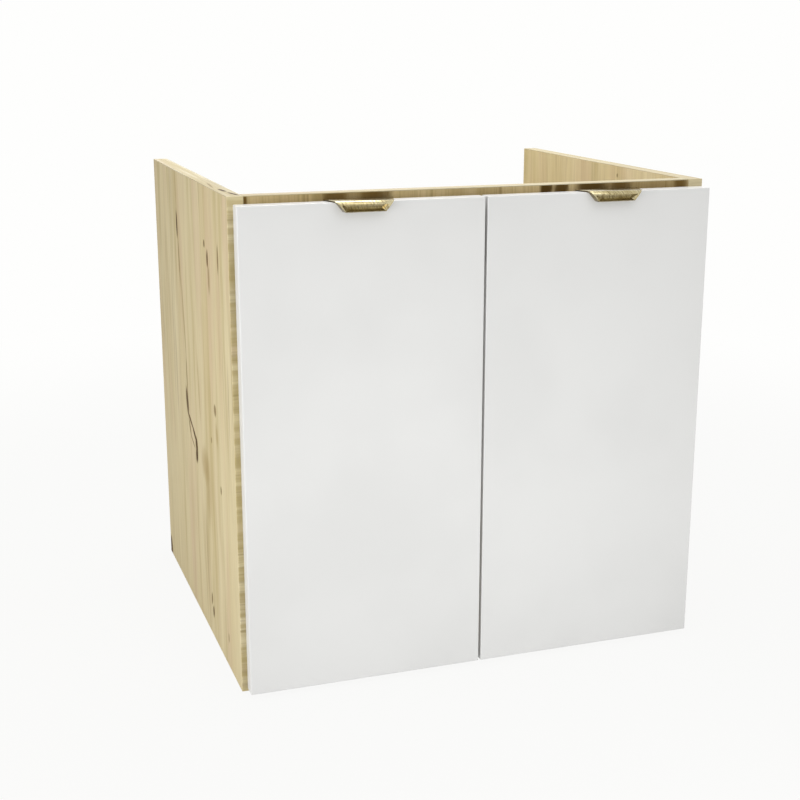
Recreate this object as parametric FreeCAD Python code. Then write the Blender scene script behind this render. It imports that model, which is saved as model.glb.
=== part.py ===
import FreeCAD, Part
import math
import os

# Sink base cabinet: two sides, a bottom and two rails of oak-decor board, joined by dowels and
# cam fittings, with an open back and two white slab doors on cup hinges. Each door has an edge
# pull over its top edge. All sizes are in millimetres.
#
# Frame: X runs from the left side to the right side, Y from the doors to the wall, Z upwards.
# The origin is under the middle of the whole cabinet, handles included, at floor level.

Vector = FreeCAD.Vector

# ---- Carcass ---------------------------------------------------------------------------------
cabinet_width = 600.0
cabinet_height = 600.0
carcass_depth = 500.0
board_thickness = 19.0
edge_band_thickness = 1.0
edge_band_rounding = 0.5
front_rail_height = 90.0
front_setback = 1.0
rear_rail_height = 100.0
rear_rail_top_drop = 80.0

# ---- Doors -----------------------------------------------------------------------------------
door_thickness = 19.0
door_standoff = 8.0
door_side_reveal = 5.0
door_top_reveal = 8.0
door_bottom_reveal = 7.0
door_centre_gap = 3.0
door_edge_rounding = 1.0

# ---- Edge pulls ------------------------------------------------------------------------------
handle_width = 83.0
handle_projection = 9.5
handle_drop = 12.4
handle_flange_thickness = 1.6
handle_tab_thickness = 1.6
handle_tab_height = 16.0
handle_nose_radius = 6.5
handle_rim_rounding = 0.8
handle_flange_taper = 0.33
handle_body_taper = 0.1
handle_end_slope = 0.85
left_handle_shift = -1.2
right_handle_shift = 14.4
pocket_top = 4.4
pocket_roof_depth = 4.2
pocket_roof_fall = 0.4
pocket_depth = 5.7
pocket_crease_drop = 8.8
pocket_crease_width = 39.0
pocket_end_flare = 1.05
pocket_end_slope = 0.68
pocket_rim = 0.8
handle_screw_spacing = 48.0
handle_screw_drop = 9.5

# ---- Cup hinges ------------------------------------------------------------------------------
hinge_below_rail = 8.0
hinge_above_bottom = 78.0
hinge_pin_from_edge = 10.5
hinge_pin_depth = 6.0
hinge_pin_radius = 1.5
hinge_running_clearance = 0.05
cup_radius = 17.5
cup_depth = 11.5
cup_wall = 1.0
cup_from_door_edge = 22.5
cup_fit_clearance = 0.1
cup_flange_thickness = 1.2
cup_flange_overlap = 1.0
cup_wing_radius = 6.5
cup_screw_spacing = 48.0
cup_screw_offset = 6.0
cup_ear_thickness = 3.0
cup_ear_radius = 2.5
cup_ear_gap = 0.5
arm_knuckle_radius = 3.0
arm_neck_thickness = 1.6
arm_neck_width = 10.0
arm_neck_clearance = 5.6
arm_neck_bend_from_front = 4.0
arm_channel_width = 15.0
arm_wall = 1.2
arm_channel_start = 16.0
arm_channel_end = 64.0
plate_thickness = 2.0
plate_block_height = 8.0
plate_block_clearance = 0.3
plate_body_width = 22.0
plate_start = 14.0
plate_end = 62.0
plate_wing_width = 14.0
plate_wing_span = 44.0
plate_screw_from_front = 37.0
plate_screw_spacing = 32.0
arm_screw_from_front = 52.0

# ---- Fasteners -------------------------------------------------------------------------------
screw_radius = 1.75
screw_head_radius = 3.5
screw_head_top_radius = 2.5
screw_head_height = 1.8
screw_length = 13.0
screw_tip_length = 3.0
screw_tip_radius = 0.3
screw_recess_width = 0.9
screw_recess_length = 4.0
screw_recess_depth = 1.2
screw_hole_clearance = 0.05
screw_hole_extra_depth = 0.5
arm_screw_radius = 2.5
arm_screw_head_radius = 4.3
arm_screw_length = 7.0
dowel_radius = 4.0
dowel_length = 30.0
dowel_depth_in_side = 10.0
dowel_end_chamfer = 0.8
dowel_hole_clearance = 0.05
dowel_hole_extra_depth = 1.0
cam_radius = 7.5
cam_height = 13.0
cam_hole_clearance = 0.1
cam_recess = 0.5
cam_from_board_end = 34.0
cam_slot_width = 8.2
cam_core_radius = 5.6
cam_bolt_radius = 3.0
cam_bolt_head_radius = 3.6
cam_bolt_head_length = 3.0
cam_bolt_collar_radius = 4.2
cam_bolt_collar_length = 1.0
cam_bolt_depth_in_side = 11.0
cam_bolt_hole_radius = 4.4
cam_cap_radius = 8.5
cam_cap_thickness = 0.8
cam_cap_plug_radius = 2.4
cam_cap_plug_length = 2.5
cam_drive_radius = 2.6
cam_drive_depth = 2.6
rail_dowel_spacing = 56.0
bottom_cam_from_front = 70.0
bottom_dowel_inset = 35.0
wall_hole_radius = 3.0
wall_hole_spacing = 440.0

# ---- Door bumpers ----------------------------------------------------------------------------
bumper_radius = 4.0
bumper_from_free_edge = 22.0
bumper_from_door_top = 22.0
bumper_from_door_bottom = 5.5
bumper_gap = 0.3

# ---- Places that follow from the sizes above -------------------------------------------------
overall_depth = carcass_depth + door_standoff + door_thickness + handle_projection
wall_y = overall_depth / 2
carcass_front_y = wall_y - carcass_depth
door_back_y = carcass_front_y - door_standoff
door_front_y = door_back_y - door_thickness
left_x = -cabinet_width / 2
side_inner_x = left_x + board_thickness
inner_half_width = -side_inner_x
rail_front_y = carcass_front_y + front_setback
rear_rail_front_y = wall_y - board_thickness
rear_rail_top_z = cabinet_height - rear_rail_top_drop
door_bottom_z = door_bottom_reveal
door_top_z = cabinet_height - door_top_reveal
door_outer_x = left_x + door_side_reveal
door_free_x = -door_centre_gap / 2
pin_x = door_outer_x + hinge_pin_from_edge
pin_y = door_back_y - hinge_pin_depth
cup_x = door_outer_x + cup_from_door_edge
front_rail_bottom_z = cabinet_height - front_rail_height
hinge_heights = {
    "upper": front_rail_bottom_z - hinge_below_rail - plate_wing_span / 2,
    "lower": board_thickness + hinge_above_bottom + plate_wing_span / 2,
}
cam_x = side_inner_x + cam_from_board_end
X_AXIS = Vector(1, 0, 0)
Y_AXIS = Vector(0, 1, 0)
Z_AXIS = Vector(0, 0, 1)

# ---- Small lengths that only help to draw, and are no size of the object ---------------------
pick_tolerance = 0.1
parallel_tolerance = 1e-6
cutter_margin = 1.0


def box(x0, x1, y0, y1, z0, z1):
    """A block between two corners."""
    return Part.makeBox(x1 - x0, y1 - y0, z1 - z0, Vector(x0, y0, z0))


def rod(radius, length, start, direction):
    """A round bar that starts at a point and runs along a direction."""
    return Part.makeCylinder(radius, length, start, direction)


def mirrored(shape):
    """The same piece on the other side of the cabinet's middle."""
    return shape.mirror(Vector(0, 0, 0), X_AXIS)


def both_sides(shapes):
    """A list of pieces on the left, followed by their copies on the right."""
    return list(shapes) + [mirrored(shape) for shape in shapes]


def fused(shapes):
    """One solid made of touching shapes, with no seams left on its flat faces."""
    return shapes[0].fuse(shapes[1:]).removeSplitter()


def rounded_long_edges(shape, radius, direction, outward):
    """Round the edges that run along a direction, on the face that looks outward."""
    furthest = max(edge.CenterOfMass.dot(outward) for edge in shape.Edges)
    chosen = []
    for edge in shape.Edges:
        run = edge.Vertexes[-1].Point - edge.Vertexes[0].Point
        below_face = furthest - edge.CenterOfMass.dot(outward)
        if run.cross(direction).Length < parallel_tolerance and below_face < pick_tolerance:
            chosen.append(edge)
    return shape.makeFillet(radius, chosen)


# ---- Fastener shapes -------------------------------------------------------------------------
def wood_screw(seat, direction, grip):
    """A pan-head screw: seat is under its head, grip is the metal it goes through."""
    head = Part.makeCone(screw_head_radius, screw_head_top_radius, screw_head_height, seat, -direction)
    shank_length = grip + screw_length - screw_tip_length
    shank = rod(screw_radius, shank_length, seat, direction)
    tip_start = seat + direction * shank_length
    tip = Part.makeCone(screw_radius, screw_tip_radius, screw_tip_length, tip_start, direction)
    screw = fused([head, shank, tip])
    return screw.cut(cross_recess(seat - direction * screw_head_height, direction))


def cross_recess(top, direction):
    """The cross slot in a screw head: two crossing blocks sunk from its top."""
    across = Z_AXIS
    along = direction.cross(across)
    blades = []
    for blade_direction, side_direction in ((across, along), (along, across)):
        corner = (
            top
            - blade_direction * (screw_recess_length / 2)
            - side_direction * (screw_recess_width / 2)
        )
        outline = Part.makePolygon([
            corner,
            corner + blade_direction * screw_recess_length,
            corner + blade_direction * screw_recess_length + side_direction * screw_recess_width,
            corner + side_direction * screw_recess_width,
            corner,
        ])
        blades.append(Part.Face(outline).extrude(direction * screw_recess_depth))
    return fused(blades)


def screw_hole(seat, direction, grip):
    """The hole that a wood screw's shank fills, from under its head to past its tip."""
    depth = grip + screw_length + screw_hole_extra_depth
    return rod(screw_radius + screw_hole_clearance, depth, seat, direction)


def dowel(y, z):
    """A round beech dowel across the joint between the left side and a board."""
    start = Vector(side_inner_x - dowel_depth_in_side, y, z)
    body = rod(dowel_radius, dowel_length, start, X_AXIS)
    return body.makeChamfer(dowel_end_chamfer, [edge for edge in body.Edges if edge.Closed])


def dowel_hole(y, z):
    """Blind hole for a dowel, in the side and in the end of the board that meets it."""
    start = Vector(side_inner_x - dowel_depth_in_side - dowel_hole_extra_depth, y, z)
    length = dowel_length + 2 * dowel_hole_extra_depth
    return rod(dowel_radius + dowel_hole_clearance, length, start, X_AXIS)


def cam_bolt(y, z):
    """Steel bolt screwed into the left side; its head is gripped by the cam."""
    foot = Vector(side_inner_x - cam_bolt_depth_in_side, y, z)
    head_start = cam_x - cam_bolt_head_length / 2
    shank = rod(cam_bolt_radius, head_start - foot.x, foot, X_AXIS)
    neck = rod(cam_bolt_collar_radius, cam_bolt_collar_length, Vector(side_inner_x, y, z), X_AXIS)
    head = rod(cam_bolt_head_radius, cam_bolt_head_length, Vector(head_start, y, z), X_AXIS)
    return fused([shank, neck, head])


def cam_bolt_holes(y, z):
    """Tapped foot hole in the side, and the wider hole in the board's end as far as the cam."""
    foot = Vector(side_inner_x - cam_bolt_depth_in_side, y, z)
    foot_hole = rod(cam_bolt_radius, cam_bolt_depth_in_side, foot, X_AXIS)
    end_hole = rod(cam_bolt_hole_radius, cam_from_board_end, Vector(side_inner_x, y, z), X_AXIS)
    return [foot_hole, end_hole]


def cam_mouth(face, y, z):
    """Middle of a cam hole's mouth. face is the way that the drilled face of the board looks."""
    return Vector(cam_x, y, z) + face * (board_thickness / 2)


def cam_disc(face, y, z):
    """Round cam with a side slot that takes the bolt's head, and a hole for the key."""
    top = cam_mouth(face, y, z) - face * cam_recess
    disc = rod(cam_radius, cam_height, top, -face)
    middle = Vector(cam_x, y, z)
    slot = rod(cam_slot_width / 2, cam_radius + cam_core_radius, middle - X_AXIS * cam_radius, X_AXIS)
    drive = rod(cam_drive_radius, cam_drive_depth, top, -face)
    return disc.cut(slot).cut(drive)


def cam_hole(face, y, z):
    """Flat-bottomed hole for a cam, which lies a little below the board's face."""
    depth = cam_recess + cam_height
    return rod(cam_radius + cam_hole_clearance, depth, cam_mouth(face, y, z), -face)


def cam_cap(face, y, z):
    """Thin plastic cover pressed into the cam's key hole."""
    top = cam_mouth(face, y, z)
    cover = rod(cam_cap_radius, cam_cap_thickness, top, face)
    plug = rod(cam_cap_plug_radius, cam_cap_plug_length, top, -face)
    return fused([cover, plug])


# ---- Where each cross board is fastened to the sides -----------------------------------------
def rail_joint(middle_y, middle_z, face):
    """One cam between two dowels, one above the other, as an upright rail has."""
    half = rail_dowel_spacing / 2
    return {
        "face": face,
        "dowels": [(middle_y, middle_z - half), (middle_y, middle_z + half)],
        "cams": [(middle_y, middle_z)],
    }


front_rail_joint = rail_joint(
    rail_front_y + board_thickness / 2, front_rail_bottom_z + front_rail_height / 2, Y_AXIS
)
rear_rail_joint = rail_joint(
    wall_y - board_thickness / 2, rear_rail_top_z - rear_rail_height / 2, -Y_AXIS
)
bottom_joint = {
    "face": -Z_AXIS,
    "dowels": [
        (carcass_front_y + bottom_dowel_inset, board_thickness / 2),
        (carcass_front_y + carcass_depth / 2, board_thickness / 2),
        (wall_y - bottom_dowel_inset, board_thickness / 2),
    ],
    "cams": [
        (carcass_front_y + bottom_cam_from_front, board_thickness / 2),
        (wall_y - bottom_cam_from_front, board_thickness / 2),
    ],
}
rail_joints = [front_rail_joint, rear_rail_joint]
board_joints = rail_joints + [bottom_joint]


def joint_cuts(joint):
    """All holes of one board joint at the left side."""
    cuts = [dowel_hole(y, z) for y, z in joint["dowels"]]
    for y, z in joint["cams"]:
        cuts += cam_bolt_holes(y, z)
        cuts.append(cam_hole(joint["face"], y, z))
    return cuts


# ---- Boards and their edge bands -------------------------------------------------------------
def plate_screw_seats(height):
    """Points on the left side's inner face where a hinge plate's two screws go in."""
    y = carcass_front_y + plate_screw_from_front
    half = plate_screw_spacing / 2
    return [Vector(side_inner_x, y, height - half), Vector(side_inner_x, y, height + half)]


def left_side_panel():
    """Upright board, bored on its inner face for the rails, the bottom and the hinge plates."""
    board = box(
        left_x, side_inner_x,
        carcass_front_y + edge_band_thickness, wall_y,
        0, cabinet_height - edge_band_thickness,
    )
    cuts = []
    for joint in board_joints:
        cuts += [dowel_hole(y, z) for y, z in joint["dowels"]]
        cuts += [cam_bolt_holes(y, z)[0] for y, z in joint["cams"]]
    for height in hinge_heights.values():
        for seat in plate_screw_seats(height):
            cuts.append(screw_hole(seat + X_AXIS * plate_thickness, -X_AXIS, plate_thickness))
    return board.cut(cuts)


def left_side_front_band():
    """Decor band on the side's front edge, its two long edges rounded."""
    band = box(
        left_x, side_inner_x,
        carcass_front_y, carcass_front_y + edge_band_thickness,
        0, cabinet_height,
    )
    return rounded_long_edges(band, edge_band_rounding, Z_AXIS, -Y_AXIS)


def left_side_top_band():
    """Decor band on the side's top edge, behind the front band."""
    band = box(
        left_x, side_inner_x,
        carcass_front_y + edge_band_thickness, wall_y,
        cabinet_height - edge_band_thickness, cabinet_height,
    )
    return rounded_long_edges(band, edge_band_rounding, Y_AXIS, Z_AXIS)


def rail_board(front_y, bottom_z, top_z, joint):
    """A rail on edge between the sides, below the band on its top edge."""
    board = box(
        side_inner_x, inner_half_width,
        front_y, front_y + board_thickness,
        bottom_z, top_z - edge_band_thickness,
    )
    return board.cut(both_sides(joint_cuts(joint)))


def rail_band(front_y, top_z):
    """Decor band on a rail's top edge."""
    band = box(
        side_inner_x, inner_half_width,
        front_y, front_y + board_thickness,
        top_z - edge_band_thickness, top_z,
    )
    return rounded_long_edges(band, edge_band_rounding, X_AXIS, Z_AXIS)


def front_top_rail():
    """Front rail, set just behind the sides' front edges."""
    return rail_board(rail_front_y, front_rail_bottom_z, cabinet_height, front_rail_joint)


def rear_rail():
    """Rear rail, flush with the sides' back edges, with two holes for screws to the wall."""
    bottom_z = rear_rail_top_z - rear_rail_height
    board = rail_board(rear_rail_front_y, bottom_z, rear_rail_top_z, rear_rail_joint)
    middle_z = bottom_z + rear_rail_height / 2
    holes = []
    for side in (-1, 1):
        start = Vector(side * wall_hole_spacing / 2, rear_rail_front_y, middle_z)
        holes.append(rod(wall_hole_radius, board_thickness, start, Y_AXIS))
    return board.cut(holes)


def bottom_panel():
    """Bottom board between the sides, its cams let in from below."""
    board = box(
        side_inner_x, inner_half_width,
        rail_front_y + edge_band_thickness, wall_y,
        0, board_thickness,
    )
    return board.cut(both_sides(joint_cuts(bottom_joint)))


def bottom_panel_front_band():
    """Decor band on the bottom board's front edge."""
    band = box(
        side_inner_x, inner_half_width,
        rail_front_y, rail_front_y + edge_band_thickness,
        0, board_thickness,
    )
    return rounded_long_edges(band, edge_band_rounding, X_AXIS, -Y_AXIS)


def wooden_dowels():
    """All dowels of the carcass."""
    pieces = [dowel(y, z) for joint in board_joints for y, z in joint["dowels"]]
    return Part.makeCompound(both_sides(pieces))


def cam_bolts():
    """The bolt of every cam fitting."""
    pieces = [cam_bolt(y, z) for joint in board_joints for y, z in joint["cams"]]
    return Part.makeCompound(both_sides(pieces))


def cam_fittings(piece, joints):
    """A cam, or its cover, at every cam fitting of the given board joints."""
    pieces = [piece(joint["face"], y, z) for joint in joints for y, z in joint["cams"]]
    return Part.makeCompound(both_sides(pieces))


# ---- Hinges, drawn on the left side ----------------------------------------------------------
plate_top_x = side_inner_x + plate_thickness
arm_web_x = plate_top_x + plate_block_height
neck_x = side_inner_x + arm_neck_clearance + arm_neck_thickness / 2
arm_web_middle_x = arm_web_x + arm_wall / 2


def strip(points, thickness, low_z, high_z):
    """A bent flat strip that stands on edge along a line of points, round at each bend."""
    height = high_z - low_z
    pieces = []
    for start, end in zip(points, points[1:]):
        run = Vector(end[0] - start[0], end[1] - start[1], 0)
        side = Vector(-run.y, run.x, 0).normalize() * (thickness / 2)
        corner = Vector(start[0], start[1], low_z)
        outline = [corner - side, corner + run - side, corner + run + side, corner + side]
        face = Part.Face(Part.makePolygon(outline + outline[:1]))
        pieces.append(face.extrude(Z_AXIS * height))
    for x, y in points:
        pieces.append(rod(thickness / 2, height, Vector(x, y, low_z), Z_AXIS))
    return fused(pieces)


def hinge_plate(height):
    """Steel mounting plate: a base with two screw wings and the block that the arm sits on."""
    front = carcass_front_y
    base = box(
        side_inner_x, plate_top_x,
        front + plate_start, front + plate_end,
        height - plate_body_width / 2, height + plate_body_width / 2,
    )
    wings = box(
        side_inner_x, plate_top_x,
        front + plate_screw_from_front - plate_wing_width / 2,
        front + plate_screw_from_front + plate_wing_width / 2,
        height - plate_wing_span / 2, height + plate_wing_span / 2,
    )
    block_half = arm_channel_width / 2 - arm_wall - plate_block_clearance
    block_start = arm_channel_start + arm_neck_thickness + plate_block_clearance
    block = box(
        side_inner_x, arm_web_x,
        front + block_start, front + plate_end,
        height - block_half, height + block_half,
    )
    plate = fused([base, wings, block])
    cuts = []
    for seat in plate_screw_seats(height):
        cuts.append(rod(screw_radius + screw_hole_clearance, plate_thickness, seat, X_AXIS))
    cuts.append(arm_screw_hole(height))
    return plate.cut(cuts)


def arm_screw_hole(height):
    """Hole through the arm's web and into the plate's block."""
    top = Vector(arm_web_x + arm_wall, carcass_front_y + arm_screw_from_front, height)
    radius = arm_screw_radius + screw_hole_clearance
    return rod(radius, arm_wall + arm_screw_length, top, -X_AXIS)


def hinge_arm(height):
    """Steel arm: a channel over the plate, a swan neck and a knuckle around the hinge pin."""
    front = carcass_front_y
    half = arm_channel_width / 2
    start = front + arm_channel_start
    end = front + arm_channel_end
    web = box(arm_web_x, arm_web_x + arm_wall, start, end, height - half, height + half)
    lower = box(plate_top_x, arm_web_x + arm_wall, start, end, height - half, height - half + arm_wall)
    upper = box(plate_top_x, arm_web_x + arm_wall, start, end, height + half - arm_wall, height + half)
    neck_low = height - arm_neck_width / 2
    neck_high = height + arm_neck_width / 2
    route = [
        (pin_x, pin_y),
        (neck_x, pin_y),
        (neck_x, front + arm_neck_bend_from_front),
        (arm_web_middle_x, start + arm_neck_thickness / 2),
    ]
    neck = strip(route, arm_neck_thickness, neck_low, neck_high)
    knuckle = rod(arm_knuckle_radius, arm_neck_width, Vector(pin_x, pin_y, neck_low), Z_AXIS)
    arm = fused([web, lower, upper, neck, knuckle])
    bore_radius = hinge_pin_radius + hinge_running_clearance
    bore = rod(bore_radius, arm_neck_width, Vector(pin_x, pin_y, neck_low), Z_AXIS)
    return arm.cut([bore, arm_screw_hole(height)])


def hinge_arm_screw(height):
    """Machine screw that clamps the arm on its plate."""
    seat = Vector(arm_web_x + arm_wall, carcass_front_y + arm_screw_from_front, height)
    shank = rod(arm_screw_radius, arm_wall + arm_screw_length - screw_hole_clearance, seat, -X_AXIS)
    head = rod(arm_screw_head_radius, screw_head_height, seat, X_AXIS)
    return fused([shank, head]).cut(cross_recess(seat + X_AXIS * screw_head_height, -X_AXIS))


ear_inner = arm_neck_width / 2 + cup_ear_gap
ear_outer = ear_inner + cup_ear_thickness


def hinge_pin(height):
    """Steel pin, held at both ends in the cup's ears."""
    start = Vector(pin_x, pin_y, height - ear_outer)
    return rod(hinge_pin_radius, 2 * ear_outer, start, Z_AXIS)


def cup_ears(height):
    """Two ears in the cup, one above and one below the arm, joined to the cup's wall."""
    ears = []
    for low_z in (height - ear_outer, height + ear_inner):
        tab = box(
            cup_x - cup_radius, pin_x,
            pin_y - cup_ear_radius, pin_y + cup_ear_radius,
            low_z, low_z + cup_ear_thickness,
        )
        nose = rod(cup_ear_radius, cup_ear_thickness, Vector(pin_x, pin_y, low_z), Z_AXIS)
        ears += [tab, nose]
    inside = rod(cup_radius - cup_wall / 2, cup_depth, Vector(cup_x, door_back_y, height), -Y_AXIS)
    return fused(ears).common(inside)


def cup_screw_seats(height):
    """Points on the door's back where a cup's two screws go in."""
    half = cup_screw_spacing / 2
    x = cup_x + cup_screw_offset
    return [Vector(x, door_back_y, height - half), Vector(x, door_back_y, height + half)]


def hinge_cup(height):
    """Pressed steel cup let into the door, with a flange and two screw wings on its back."""
    mouth = Vector(cup_x, door_back_y, height)
    shell = rod(cup_radius, cup_depth, mouth, -Y_AXIS)
    flange = rod(cup_radius + cup_flange_overlap, cup_flange_thickness, mouth, Y_AXIS)
    pieces = [shell, flange]
    low, high = cup_screw_seats(height)
    pieces.append(box(
        low.x - cup_wing_radius, low.x + cup_wing_radius,
        door_back_y, door_back_y + cup_flange_thickness,
        low.z, high.z,
    ))
    for seat in (low, high):
        pieces.append(rod(cup_wing_radius, cup_flange_thickness, seat, Y_AXIS))
    cup = fused(pieces)
    hollow_start = mouth + Y_AXIS * cup_flange_thickness
    hollow_depth = cup_depth - cup_wall + cup_flange_thickness
    hollow = rod(cup_radius - cup_wall, hollow_depth, hollow_start, -Y_AXIS)
    cuts = [hollow]
    for seat in (low, high):
        cuts.append(rod(screw_radius + screw_hole_clearance, cup_flange_thickness, seat, Y_AXIS))
    return cup.cut(cuts).fuse(cup_ears(height)).cut(hinge_pin(height))


def cup_bore(height):
    """Blind hole for a hinge cup in the door's back."""
    mouth = Vector(cup_x, door_back_y, height)
    return rod(cup_radius + cup_fit_clearance, cup_depth + cup_fit_clearance, mouth, -Y_AXIS)


# ---- Doors -----------------------------------------------------------------------------------
left_handle_x = (door_outer_x + door_free_x) / 2 + left_handle_shift
right_handle_x = -left_handle_x + right_handle_shift


def handle_screw_seats(middle_x):
    """Points on the door's back where an edge pull's two screws go in."""
    z = door_top_z + handle_flange_thickness - handle_screw_drop
    half = handle_screw_spacing / 2
    return [Vector(middle_x - half, door_back_y, z), Vector(middle_x + half, door_back_y, z)]


def door_blank():
    """The left door's slab with its outer edges eased, before any hole."""
    slab = box(door_outer_x, door_free_x, door_front_y, door_back_y, door_bottom_z, door_top_z)
    return slab.makeFillet(door_edge_rounding, slab.Edges)


def door_panel(blank, middle_x, mirror_hinges):
    """A slab door, bored on its back for the cups and the screws."""
    cuts = []
    for height in hinge_heights.values():
        cuts.append(cup_bore(height))
        for seat in cup_screw_seats(height):
            cuts.append(screw_hole(seat, -Y_AXIS, 0))
    if mirror_hinges:
        cuts = [mirrored(cut) for cut in cuts]
    for seat in handle_screw_seats(middle_x):
        cuts.append(screw_hole(seat, -Y_AXIS, 0))
    return blank.cut(cuts)


def bumpers():
    """Two clear buffers on the left door's back, facing the front rail and the bottom board."""
    length = door_standoff + front_setback - bumper_gap
    x = door_free_x - bumper_from_free_edge
    heights = (door_bottom_z + bumper_from_door_bottom, door_top_z - bumper_from_door_top)
    return [rod(bumper_radius, length, Vector(x, door_back_y, z), Y_AXIS) for z in heights]


# ---- Edge pull -------------------------------------------------------------------------------
def handle_point(x, forward, down):
    """A point of the pull: forward of the door's face, and down from the pull's top."""
    return Vector(x, door_front_y - forward, door_top_z + handle_flange_thickness - down)


def handle_half_width(forward, down):
    """Half of the pull's width. The flange narrows forward, and the body narrows downward."""
    flange_run = min(forward, 0) + door_thickness
    body_run = max(forward, 0)
    return (
        handle_width / 2
        - handle_flange_taper * flange_run
        - handle_body_taper * body_run
        - handle_end_slope * down
    )


def handle_section(x):
    """Outline of the pull: tab behind the door, flange over its top edge, rounded nose, rim."""
    back = -door_thickness - handle_tab_thickness
    nose_back = handle_projection - handle_nose_radius
    nose_turn = handle_nose_radius * math.sqrt(0.5)
    rim_turn = handle_rim_rounding * (1 - math.sqrt(0.5))
    nose = Part.Arc(
        handle_point(x, nose_back, 0),
        handle_point(x, nose_back + nose_turn, handle_nose_radius - nose_turn),
        handle_point(x, handle_projection, handle_nose_radius),
    )
    rim = Part.Arc(
        handle_point(x, handle_projection, handle_drop - handle_rim_rounding),
        handle_point(x, handle_projection - rim_turn, handle_drop - rim_turn),
        handle_point(x, handle_projection - handle_rim_rounding, handle_drop),
    )
    corners = [
        handle_point(x, handle_projection - handle_rim_rounding, handle_drop),
        handle_point(x, 0, handle_drop),
        handle_point(x, 0, handle_flange_thickness),
        handle_point(x, -door_thickness, handle_flange_thickness),
        handle_point(x, -door_thickness, handle_tab_height),
        handle_point(x, back, handle_tab_height),
        handle_point(x, back, 0),
        handle_point(x, nose_back, 0),
    ]
    edges = [Part.LineSegment(a, b).toShape() for a, b in zip(corners, corners[1:])]
    edges.append(nose.toShape())
    front_top = handle_point(x, handle_projection, handle_nose_radius)
    front_bottom = handle_point(x, handle_projection, handle_drop - handle_rim_rounding)
    edges.append(Part.LineSegment(front_top, front_bottom).toShape())
    edges.append(rim.toShape())
    return Part.Face(Part.Wire(Part.__sortEdges__(edges)))


def handle_ends(middle_x):
    """A tapering block whose slanting sides cut the ends of the pull's flange and body."""
    back = -door_thickness - handle_tab_thickness
    left_end = [(back, -1), (0, -1), (handle_projection, -1)]
    right_end = [(handle_projection, 1), (0, 1), (back, 1)]
    outlines = []
    for down in (-cutter_margin, handle_tab_height + cutter_margin):
        corners = []
        for forward, side in left_end + right_end:
            half = handle_half_width(forward, down)
            corners.append(handle_point(middle_x + side * half, forward, down))
        outlines.append(Part.makePolygon(corners + corners[:1]))
    return Part.makeLoft(outlines, True, True)


def pocket_half_width(forward, down):
    """Half of the finger pocket's width, which grows towards the front and upward."""
    crease_forward = handle_projection - pocket_depth
    return (
        pocket_crease_width / 2
        + pocket_end_flare * (forward - crease_forward)
        + pocket_end_slope * (pocket_crease_drop - down)
    )


def handle_pocket(middle_x):
    """Finger pocket below the nose: its back leans under the nose and its ends slope inward."""
    mouth = handle_projection
    mouth_bottom = handle_drop - pocket_rim
    crease = mouth - pocket_depth
    start = middle_x - handle_width / 2
    section = [
        handle_point(start, mouth, pocket_top),
        handle_point(start, mouth - pocket_roof_depth, pocket_top + pocket_roof_fall),
        handle_point(start, crease, pocket_crease_drop),
        handle_point(start, mouth, mouth_bottom),
    ]
    channel = Part.Face(Part.makePolygon(section + section[:1])).extrude(X_AXIS * handle_width)
    outlines = []
    for down in (pocket_top, mouth_bottom):
        corners = []
        for forward, side in ((mouth, -1), (mouth, 1), (crease, 1), (crease, -1)):
            half = pocket_half_width(forward, down)
            corners.append(handle_point(middle_x + side * half, forward, down))
        outlines.append(Part.makePolygon(corners + corners[:1]))
    return channel.common(Part.makeLoft(outlines, True, True))


def handle(middle_x):
    """Cast edge pull with slanting ends and a finger pocket under its nose."""
    start = middle_x - handle_width
    bar = handle_section(start).extrude(X_AXIS * (2 * handle_width))
    pull = bar.common(handle_ends(middle_x)).cut(handle_pocket(middle_x))
    holes = []
    for seat in handle_screw_seats(middle_x):
        holes.append(rod(screw_radius + screw_hole_clearance, handle_tab_thickness, seat, Y_AXIS))
    return pull.cut(holes)


def handle_screws(middle_x):
    """The two screws that hold an edge pull's tab on the door's back."""
    screws = []
    for seat in handle_screw_seats(middle_x):
        under_head = seat + Y_AXIS * handle_tab_thickness
        screws.append(wood_screw(under_head, -Y_AXIS, handle_tab_thickness))
    return Part.makeCompound(screws)


# ---- Every piece, by its name ----------------------------------------------------------------
parts = {
    "left_side_panel": left_side_panel(),
    "left_side_front_band": left_side_front_band(),
    "left_side_top_band": left_side_top_band(),
    "bottom_panel": bottom_panel(),
    "bottom_panel_front_band": bottom_panel_front_band(),
    "front_top_rail": front_top_rail(),
    "front_rail_top_band": rail_band(rail_front_y, cabinet_height),
    "rear_rail": rear_rail(),
    "rear_rail_top_band": rail_band(rear_rail_front_y, rear_rail_top_z),
    "wooden_dowels": wooden_dowels(),
    "cam_bolts": cam_bolts(),
    "cam_discs": cam_fittings(cam_disc, board_joints),
    "cam_cover_caps": cam_fittings(cam_cap, rail_joints),
}
for name in ("panel", "front_band", "top_band"):
    parts["right_side_" + name] = mirrored(parts["left_side_" + name])

plate_screws = []
arm_screws = []
cup_screws = []
for level, height in hinge_heights.items():
    hinge_pieces = {
        "plate": hinge_plate(height),
        "arm": hinge_arm(height),
        "cup": hinge_cup(height),
        "pin": hinge_pin(height),
    }
    for name, piece in hinge_pieces.items():
        parts["left_" + level + "_hinge_" + name] = piece
        parts["right_" + level + "_hinge_" + name] = mirrored(piece)
    arm_screws.append(hinge_arm_screw(height))
    for seat in plate_screw_seats(height):
        plate_screws.append(wood_screw(seat + X_AXIS * plate_thickness, -X_AXIS, plate_thickness))
    for seat in cup_screw_seats(height):
        under_head = seat + Y_AXIS * cup_flange_thickness
        cup_screws.append(wood_screw(under_head, -Y_AXIS, cup_flange_thickness))
parts["hinge_plate_screws"] = Part.makeCompound(both_sides(plate_screws))
parts["hinge_arm_screws"] = Part.makeCompound(both_sides(arm_screws))

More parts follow.
